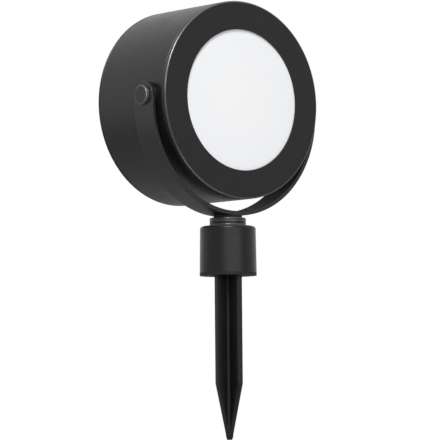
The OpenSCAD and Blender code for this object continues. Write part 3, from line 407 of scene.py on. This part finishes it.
# %% Silicone
dress(grained("silicone_seal", "#171718", 0.6, 0.33, 0.006, tone=0.2, level=0.35),
      "diffuser_gasket", "ring_gasket", "rear_gasket")
dress(grained("silicone_button", "#2a2a2c", 0.55, 0.3, 0.012, tone=0.15, level=0.35), "power_button")

# %% [markdown]
# ## Plastics inside the head
#
# The reflector is white ABS, moulded smooth so that little light is lost. The battery
# holder is black polypropylene with a fine etched grain. The switch's plunger is a
# dark red acetal, dense and slightly waxy, so it is the glossiest of the three.

# %% Inner plastics
dress(grained("white_abs_reflector", "#ecece8", 0.32, 1.5, 0.004, tone=0.02), "reflector")
dress(grained("polypropylene_battery_holder", "#1c1c1e", 0.5, 0.4, 0.015, tone=0.15), "battery_holder")
dress(grained("acetal_plunger", "#8a2a22", 0.3, 0.8, 0.004, tone=0.06), "switch_plunger")

# %% [markdown]
# ## Plated and blackened steel
#
# The hidden screws, nuts and washers are zinc plated and passivated: a pale metal whose
# plating crystals scatter the light, so it is never a mirror. The four screws of the rear
# cover and the screw through the strap are black oxide steel, a dark grey metal with an
# oily sheen. The battery's contacts are sheet steel with smooth nickel, slightly warm.
# Turned and rolled steel has lines a tenth of a millimetre apart; here they are drawn
# three times as coarse so that they show.

# %% Metals
dress(grained("zinc_plated_steel", "#bfc2c6", 0.36, 0.3, 0.006, tone=0.1, metallic=1.0,
              stretch=(1, 1, 4)),
      "led_screws", "ring_screws", "holder_screws", "board_screws", "pivot_washers", "pivot_nuts",
      "stem_washer", "stem_spring", "stem_nut")
dress(grained("black_oxide_steel", "#3a3a3d", 0.42, 0.3, 0.008, tone=0.15, metallic=1.0),
      "rear_screws", "yoke_screw")
dress(grained("nickel_plated_contact", "#d3d0c8", 0.24, 0.3, 0.004, tone=0.06, metallic=1.0,
              stretch=(4, 1, 1)),
      "battery_contacts")

# %% [markdown]
# ## The rechargeable cell
#
# The cell is a steel can in a shrunk PVC sleeve. The sleeve's edge curls a little over
# both end faces, and the bare nickel-plated steel shows inside that edge, on the cap as
# on the foot. Every point of the bare ends is nearer to the cell's axis than the sleeve's
# edge, so the distance from that axis is the mask.

# %% Cell
SLEEVE_EDGE_R = 5.2  # radius at which the sleeve ends on the end faces, mm
sleeve = grained("pvc_sleeve_on_steel_cell", "#2f6690", 0.3, 2.0, 0.006, tone=0.08)
tree, _, radius = measured(sleeve, centre_of("battery_cell"), (0, 1, 1))
bare = add(tree, "ShaderNodeMapRange", {
    "Value": radius, "From Min": SLEEVE_EDGE_R, "From Max": SLEEVE_EDGE_R - 0.2})
lay_over(sleeve, bare.outputs[0], "#c9c7c1", 0.28, metallic=1.0, raised=-0.1)
dress(sleeve, "battery_cell")

# %% [markdown]
# ## Circuit boards
#
# The light board is aluminium with white solder mask, and two copper rings under the mask
# feed the diodes. They stand up by the copper's thickness of 0.035 mm and are seen as
# slightly darker bands, drawn here at twice that height. The panel's board is the same
# white without tracks on its face. The control board is green glass-fibre board: a brick
# pattern gives its straight tracks, 0.5 mm wide and a few millimetres apart.

# %% White boards
LED_RINGS, TRACK_HALF_W = (14.0, 6.0), 0.9  # radii of the diodes' rings and half a track, mm
white_mask = grained("white_solder_mask_on_aluminium", "#dcddd8", 0.38, 0.8, 0.004, tone=0.03)
for ring_r in LED_RINGS:
    tree, _, radius = measured(white_mask, head_centre, (1, 0, 1))
    past = add(tree, "ShaderNodeMath", {0: radius, 1: ring_r}, operation="SUBTRACT").outputs[0]
    off = add(tree, "ShaderNodeMath", {0: past}, operation="ABSOLUTE").outputs[0]
    track = add(tree, "ShaderNodeMapRange", {
        "Value": off, "From Min": TRACK_HALF_W, "From Max": TRACK_HALF_W - 0.15})
    lay_over(white_mask, track.outputs[0], "#cfd0c9", 0.36, raised=0.07)
dress(white_mask, "led_board")
dress(grained("white_solder_mask_on_panel_board", "#d9dad5", 0.42, 0.8, 0.004, tone=0.04), "panel_board")

# %% Green board
COPPER = {"Mortar Size": 0.25, "Mortar Smooth": 0.2}  # half the width of a track and its blur, mm
PITCH = {"Brick Width": 7.0, "Row Height": 2.4}  # spacing of the tracks both ways, mm
green_mask = grained("green_solder_mask_on_glass_fibre", "#1d5c3c", 0.34, 0.6, 0.006, tone=0.08)
tree, axes, _ = measured(green_mask, centre_of("control_board"))
flat = add(tree, "ShaderNodeCombineXYZ", {0: axes[0], 1: axes[2]}).outputs[0]
tracks = add(tree, "ShaderNodeTexBrick", {"Vector": flat, "Scale": 1.0, **COPPER, **PITCH}, offset=0.35)
lay_over(green_mask, tracks.outputs["Fac"], "#2f7a50", 0.3, raised=0.07)
dress(green_mask, "control_board")

# %% [markdown]
# ## Components, diodes and wires
#
# The converter, the coil and the switch's body are black epoxy or phenolic, moulded with
# a fine matt grain. The diodes' housings are a heat-proof white plastic that yellows a
# little. The leads are stranded copper in PVC, red for plus and black for minus. The
# strands press through the soft PVC, which a deeper grain of nearly a millimetre gives.

# %% Components and wires
dress(grained("epoxy_component", "#1d1d20", 0.45, 0.25, 0.01, tone=0.2), "board_parts", "push_switch")
dress(grained("polyphthalamide_diode_housing", "#e9e5d6", 0.4, 0.4, 0.003, tone=0.04), "leds")
dress(grained("red_pvc_wire", "#9c2420", 0.4, 0.8, 0.02, tone=0.08), "plus_leads")
dress(grained("black_pvc_wire", "#161618", 0.4, 0.8, 0.02, tone=0.12), "minus_leads")

# %% [markdown]
# ## The solar panel
#
# Six strips of single-crystal silicon lie side by side on the panel's board. Polished
# silicon mirrors light as a dark metal does, and its anti-reflective coating leaves only
# a deep blue of that, so a metallic shader suits it. Silver paste is printed on them:
# two wide collecting lines on each strip, and fine fingers across. The lines could be
# modelled, but paste is only 0.02 mm thick, so masks lay it over the silicon. A triangle
# wave with the period of the strips gives the collecting lines, and one with the period
# of the fingers gives the fingers. Real fingers are under 0.1 mm wide; they are drawn at
# twice that so that they show.

# %% Silicon with silver lines
STRIP_PITCH, LINE_W = 11.683, 0.8  # spacing of the strips and width of a collecting line, mm
FINGER_PITCH, FINGER_W = 0.8, 0.17  # spacing and drawn width of the fingers, mm
LINE_BLUR = 0.04  # width over which the paste runs out at its edges, mm
wafer = grained("silicon_wafer_with_silver_lines", "#111d50", 0.26, 6.0, 0.002, tone=0.15, metallic=0.9)
tree, axes, _ = measured(wafer, centre_of("solar_cells"))
fingers = (axes[2], FINGER_PITCH, FINGER_W, "#2c3a6e")
collectors = (axes[0], STRIP_PITCH / 2, LINE_W, "#a9abad")
for along, pitch, width, colour in (fingers, collectors):
    wave = add(tree, "ShaderNodeMath", {0: along, 1: pitch}, operation="PINGPONG").outputs[0]
    line_edge = pitch - width / 2
    line = add(tree, "ShaderNodeMapRange", {
        "Value": wave, "From Min": line_edge - LINE_BLUR, "From Max": line_edge})
    lay_over(wafer, line.outputs[0], colour, 0.4, metallic=0.6, raised=0.02)
dress(wafer, "solar_cells")

# %% [markdown]
# ## The film between cells and cover
#
# The cells are glued to the cover by a clear film. In the model both touch in one plane,
# and a ray can't tell which of two faces in the same place it meets first, so the cells
# would show dark patches. Moving every face of the cells inwards by less than the film's
# thickness parts the two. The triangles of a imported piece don't share their corners, so
# the modifier moves each one straight along its own normal.

# %% Adhesive film
FILM_T = 0.03  # drawn thickness of the film, mm
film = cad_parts["solar_cells"].modifiers.new("adhesive_film", "DISPLACE")
film.strength, film.mid_level = -FILM_T * MM, 0.0
print("cells drawn", FILM_T, "mm below the cover")

# %% [markdown]
# ## The clear cover
#
# The panel is covered by clear polycarbonate, moulded in a polished tool and hard-coated.
# Its IOR is 1.58. It is nearly colourless, with a trace of blue from the stabiliser, and
# only faint waves from moulding break its mirror image. Full transmission on the model's
# own closed disc bends the light as the real sheet does.

# %% Clear polycarbonate
clear, tree, shader, place = new_material("clear_polycarbonate_cover")
ripple = add(tree, "ShaderNodeTexNoise", {"Vector": place, "Scale": 1 / (9 * MM), "Detail": 1.0})
wave = add(tree, "ShaderNodeBump", {"Height": ripple.outputs[0], "Distance": 0.01 * MM})
haze = add(tree, "ShaderNodeMapRange", {"Value": ripple.outputs[0], "To Min": 0.02, "To Max": 0.06})
tree.links.new(wave.outputs[0], shader.inputs["Normal"])
tree.links.new(haze.outputs[0], shader.inputs["Roughness"])
shader.inputs["Base Color"].default_value = linear("#f6f9fc")
shader.inputs["IOR"].default_value = 1.58
shader.inputs["Transmission Weight"].default_value = 1.0
dress(clear, "panel_lens")

# %% [markdown]
# ## Surfaces from two parameters
#
# The next pieces are surfaces of revolution: a profile of radius and height, carried once
# round an axis. As arrays, the rings are the profile times the cosine and sine of the
# angle, and the faces join each point to its neighbours in both directions. A profile
# that returns to its start makes a closed ring. One that starts and ends on the axis
# makes a closed dome, and its two ends become fans of triangles.

# %% Revolved surface
def revolved(profile, segments):
    """Points (r cos t, r sin t, h) for profile points (r, h), closed in t and along the profile."""
    radius, height = np.array(profile).T
    turn = np.linspace(0, 2 * np.pi, segments, endpoint=False)[:, None]
    grid = np.stack([radius * np.cos(turn), radius * np.sin(turn), height + 0 * turn], axis=-1)
    here = np.arange(segments)[:, None] * len(radius) + np.arange(len(radius))
    ahead = np.roll(here, -1, axis=0)
    quads = np.stack([here, ahead, np.roll(ahead, -1, axis=1), np.roll(here, -1, axis=1)], axis=-1)
    return grid.reshape(-1, 3), quads.reshape(-1, 4)


SHARP = math.radians(40)  # edges with a sharper turn than this stay crisp


def make_piece(name, points, faces, material, body):
    """One mesh object from points in metres, merged at its poles, riding on a body."""
    mesh = bpy.data.meshes.new(name)
    mesh.from_pydata(points.tolist(), [], faces.tolist())
    mesh.materials.append(material)
    piece = bpy.data.objects.new(name, mesh)
    bpy.context.scene.collection.objects.link(piece)
    work = bmesh.new()
    work.from_mesh(mesh)
    bmesh.ops.remove_doubles(work, verts=work.verts, dist=0.001 * MM)
    bmesh.ops.recalc_face_normals(work, faces=work.faces)
    open_edges = sum(len(edge.link_faces) != 2 for edge in work.edges)
    work.to_mesh(mesh)
    work.free()
    mesh.shade_smooth()
    mesh.set_sharp_from_angle(angle=SHARP)
    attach(piece, body)
    print(name, len(mesh.polygons), "faces,", open_edges, "open edges, on", body)
    return piece

# %% [markdown]
# ## The foot of the lower flange
#
# The lower flange ends in a slightly wider foot whose rounded top edge catches the light
# as a thin bright line just above the collar. It could be a bevel in the model, but it is
# only a few tenths of a millimetre wide, so it is trim: a small ring with a quarter
# circle for its top edge, revolved around the stem's axis.

# %% Foot ring
FLANGE_R = 8.9  # radius of the lower flange, mm
FOOT_H, FOOT_REACH, FOOT_EDGE = 0.85, 0.2, 0.25  # height, reach beyond the flange and edge radius, mm
FOOT_SUNK, FOOT_LIFT = 0.1, 0.01  # how far it reaches into the flange and stays off the collar, mm
quarter = np.linspace(0, np.pi / 2, 6)
foot_r, hidden_r = FLANGE_R + FOOT_REACH, FLANGE_R - FOOT_SUNK
turned = FOOT_EDGE * np.stack([np.cos(quarter), np.sin(quarter)], axis=-1)
arc = turned + [foot_r - FOOT_EDGE, FOOT_H - FOOT_EDGE]
foot_profile = [[hidden_r, FOOT_LIFT], [foot_r, FOOT_LIFT], *arc, [hidden_r, FOOT_H]]
points, faces = revolved(foot_profile, 96)
foot_nylon = grained("glass_filled_nylon_foot", "#060607", 0.34, 0.45, 0.01, tone=0.2, level=0.26)
tree, axes, _ = measured(foot_nylon, (0, 0, (collar_top + FOOT_H) * MM))
highlight_ramp = add(tree, "ShaderNodeMapRange", {
    "Value": axes[2], "From Min": -FOOT_EDGE - 0.1, "From Max": -FOOT_EDGE})
# Painted highlight: a lighter, partly metallic and glossier band on the foot's rounded top edge
lay_over(foot_nylon, highlight_ramp.outputs[0], **PAINTED_HIGHLIGHT)
make_piece("flange_foot", (points + [0, 0, collar_top]) * MM, faces, foot_nylon, "base")

# %% [markdown]
# ## Phosphor on the diodes
#
# What makes a white diode is a drop of clear silicone full of yellow phosphor over its
# blue chip. The drop is a flat dome in the middle of the housing. One dome is revolved
# and then copied to every diode as an array, by adding the sixteen places to its points.

# %% Phosphor domes
DOME_R, DOME_H = 1.05, 0.25  # radius and height of a dome, mm
LED_COUNTS = (12, 4)  # diodes on the two rings
SUNK, SIDES = 0.02, 12  # how far a dome or a cone reaches into its board, mm, and sides of its circle
led_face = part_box("leds")[0][1] / MM
places = []
for ring_r, count in zip(LED_RINGS, LED_COUNTS):
    turn = np.arange(count) * 2 * np.pi / count
    places += [[ring_r * np.cos(t), led_face, ring_r * np.sin(t) + head_centre[2] / MM] for t in turn]
places = np.array(places)
rise = np.linspace(0, np.pi / 2, 5)
dome = np.stack([DOME_R * np.cos(rise), DOME_H * np.sin(rise)], axis=-1)
points, faces = revolved([[0, -SUNK], [DOME_R, -SUNK], *dome], SIDES)
forward = points[:, [0, 2, 1]] * [1, -1, 1]
all_points = (places[:, None, :] + forward).reshape(-1, 3)
all_faces = (faces + np.arange(len(places))[:, None, None] * len(points)).reshape(-1, 4)
phosphor = grained("silicone_with_yellow_phosphor", "#e6b93a", 0.25, 0.3, 0.002, tone=0.08)
make_piece("phosphor_domes", all_points * MM, all_faces, phosphor, "head")

# %% [markdown]
# ## Solder at the lead joints
#
# Where a lead ends on a board, the solder climbs up the wire in a hollow cone. Its
# outline is the curve that a wetted liquid takes, close to a quarter of a circle. One
# cone is revolved, and turned to the front or the rear of its board for each joint.

# %% Solder fillets
WIRE_R, PAD_R, FILLET_H = 0.6, 1.25, 0.7  # wire, solder pad and height of the solder, mm
fall = np.linspace(0, np.pi / 2, 6)
hollow = np.stack([PAD_R - (PAD_R - WIRE_R) * np.sin(fall), FILLET_H * (1 - np.cos(fall))], axis=-1)
points, faces = revolved([[0, -SUNK], [PAD_R, -SUNK], *hollow, [0, FILLET_H]], SIDES)
board_front, board_rear = np.array(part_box("control_board"))[:, 1] / MM
light_rear, panel_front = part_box("led_board")[1][1] / MM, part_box("panel_board")[0][1] / MM
# distance from the middle, height over the head's axis, face of the board, way of the wire
JOINTS = (
    (0.9, -26.8, board_front, -1), (0.9, -26.8, board_rear, 1), (9.0, -26.0, board_rear, 1),
    (0.9, -12.0, light_rear, 1), (0.9, -20.0, panel_front, -1))
cones, walls = [], []
for aside, height, face, way in JOINTS:
    for side in (-1, 1):
        foot = [side * aside, face, height + head_centre[2] / MM]
        walls.append(faces + len(cones) * len(points))
        cones.append(points[:, [0, 2, 1]] * [1, way, 1] + foot)
solder = grained("tin_solder", "#c6c8ca", 0.22, 0.4, 0.004, tone=0.05, metallic=1.0)
all_points, all_faces = np.concatenate(cones), np.concatenate(walls)
make_piece("solder_fillets", all_points * MM, all_faces, solder, "head")

# %% [markdown]
# ## Floor
#
# The photograph has a pure white background and no floor line: its camera stands a
# little lower than the spike's tip. A pale floor at the tip's height keeps the object's
# shadow in every view from above. It fades out with the distance from the object, so
# that no horizon shows, and its underside is left out, because a floor is only seen from
# above.

# %% Floor
FLOOR_W = 12  # width of the floor, m
FADE_FROM, FADE_TO = 0.5, 1.6  # distances at which the floor starts to fade and is gone, m
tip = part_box("spike")[0][2]
bpy.ops.mesh.primitive_plane_add(size=FLOOR_W, location=(0, 0, tip))
floor = bpy.context.object
floor.name = "floor"
floor_paint, tree, shader, place = new_material("matt_painted_studio_floor")
shader.inputs["Base Color"].default_value = linear("#bebec0")
shader.inputs["Roughness"].default_value = 0.8
shader.inputs["Specular IOR Level"].default_value = 0.2
floor.data.materials.append(floor_paint)
away = add(tree, "ShaderNodeVectorMath", {0: place}, operation="LENGTH").outputs["Value"]
fade = add(tree, "ShaderNodeMapRange", {
    "Value": away, "From Min": FADE_FROM, "From Max": FADE_TO}, interpolation_type="SMOOTHSTEP").outputs[0]
under = add(tree, "ShaderNodeNewGeometry").outputs["Backfacing"]
gone = add(tree, "ShaderNodeMath", {0: fade, 1: under}, operation="MAXIMUM").outputs[0]
nothing = add(tree, "ShaderNodeBsdfTransparent").outputs[0]
blend = add(tree, "ShaderNodeMixShader", {0: gone, 1: shader.outputs[0], 2: nothing})
output = next(n for n in tree.nodes if n.type == "OUTPUT_MATERIAL")
tree.links.new(blend.outputs[0], output.inputs["Surface"])
print("floor at", round(tip / MM, 1), "mm")

# %% [markdown]
# ## World
#
# The world is the studio's white room. The camera, mirror reflections and clear pieces
# see it at a strength of 1, which is white. As a lamp it is weaker, so that the softboxes
# give the light its direction and pale surfaces don't clip.

# %% World
WORLD_FILL = 0.21
world = bpy.data.worlds.new("white_studio")
bpy.context.scene.world = world
world.use_nodes = True
sky = world.node_tree
sky.nodes.clear()
rays = add(sky, "ShaderNodeLightPath").outputs
seen = rays["Is Camera Ray"]
for ray in ("Is Glossy Ray", "Is Transmission Ray"):
    seen = add(sky, "ShaderNodeMath", {0: seen, 1: rays[ray]}, operation="MAXIMUM").outputs[0]
strength = add(sky, "ShaderNodeMapRange", {"Value": seen, "To Min": WORLD_FILL, "To Max": 1.0}).outputs[0]
background = add(sky, "ShaderNodeBackground", {"Color": (1, 1, 1, 1), "Strength": strength})
add(sky, "ShaderNodeOutputWorld", {"Surface": background.outputs[0]})
print("world fill", WORLD_FILL)

# %% [markdown]
# ## Softboxes
#
# The highlights tell where the photographer's lamps were. The rims shine at the upper
# left, and the round collar has one soft upright band in the middle of its visible side:
# so a bright box hangs above the camera, and a wide, low, dimmer one stands at its
# height. A third fills the far side without a reflection of its own. The clear cover
# shows only the white room, because a small lamp seen through it would leave blotches. A
# softbox of radiance 1 looks as white as the room; its power is that radiance times pi
# times its area.

# %% Lamps
HEAD = Vector((0, 0, 0.07))  # the point that the lamps are aimed at, m


def softbox(name, towards, distance, size, radiance):
    """A soft lamp of (width, height) in metres, aimed at the lamp head; radiance 1 is white."""
    lamp = bpy.data.lights.new(name, "AREA")
    lamp.shape, lamp.size, lamp.size_y = "RECTANGLE", *size
    lamp.energy = radiance * math.pi * size[0] * size[1]
    box = bpy.data.objects.new(name, lamp)
    bpy.context.scene.collection.objects.link(box)
    aim = Vector(towards).normalized()
    turned = aim.to_track_quat("Z", "Y").to_matrix().to_4x4()
    box.matrix_world = Matrix.Translation(HEAD + aim * distance) @ turned
    box.visible_camera = box.visible_transmission = False
    print(name, "of", size, "m at radiance", radiance)
    return box


softbox("front_light", (-0.343, -0.936, 0.10), 1.9, (2.6, 0.6), 2.45)
softbox("key_light", (-0.454, -0.542, 0.707), 1.4, (0.5, 0.65), 16.8)
softbox("rear_fill", (0.35, 0.60, 0.85), 1.9, (1.4, 1.0), 3.4).visible_glossy = False

# %% [markdown]
# ## Camera
#
# The camera looks from the front left, a little upwards, from about a metre and a half
# away. Its angles were fitted to the outlines of the round head, the strap and the
# collar in the photograph. The point that it looks at is the origin, moved a little
# aside and up so that the object stands in the frame as it does in the photograph.

# %% Camera
DISTANCE = 1462.9 * MM
SHIFT_RIGHT, SHIFT_UP = -3.78 * MM, 27.22 * MM
PICTURE_W, FOCAL = 440, 3000  # width of the photograph and its focal length, in pixels
azimuth, elevation, roll = (math.radians(a) for a in (-39.716, -4.23, -0.4945))
right = np.array([math.cos(azimuth), math.sin(azimuth), 0])
level_back = np.array([math.sin(azimuth), -math.cos(azimuth), 0])
back = level_back * math.cos(elevation) + np.array([0, 0, math.sin(elevation)])
up = np.cross(back, right)
camera_x = right * math.cos(roll) + up * math.sin(roll)
camera_y = -right * math.sin(roll) + up * math.cos(roll)
stand = back * DISTANCE + right * SHIFT_RIGHT + np.array([0, 0, SHIFT_UP])
camera = bpy.data.objects.new("camera", bpy.data.cameras.new("camera"))
bpy.context.scene.collection.objects.link(camera)
camera.data.sensor_width = 36
camera.data.lens = FOCAL / PICTURE_W * camera.data.sensor_width
facing = Matrix((camera_x.tolist(), camera_y.tolist(), back.tolist())).transposed().to_4x4()
camera.matrix_world = Matrix.Translation(stand.tolist()) @ facing
bpy.context.scene.camera = camera
bpy.context.scene.view_settings.view_transform = "Standard"
print("camera at", np.round(stand, 4))

# %% [markdown]
# ## Pieces without a finish
#
# The last lines list every piece of the model that has no finish.

# %% Pieces without a finish
undressed = [name for name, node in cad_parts.items() if not node.data.materials]
print("pieces without a finish:", undressed)
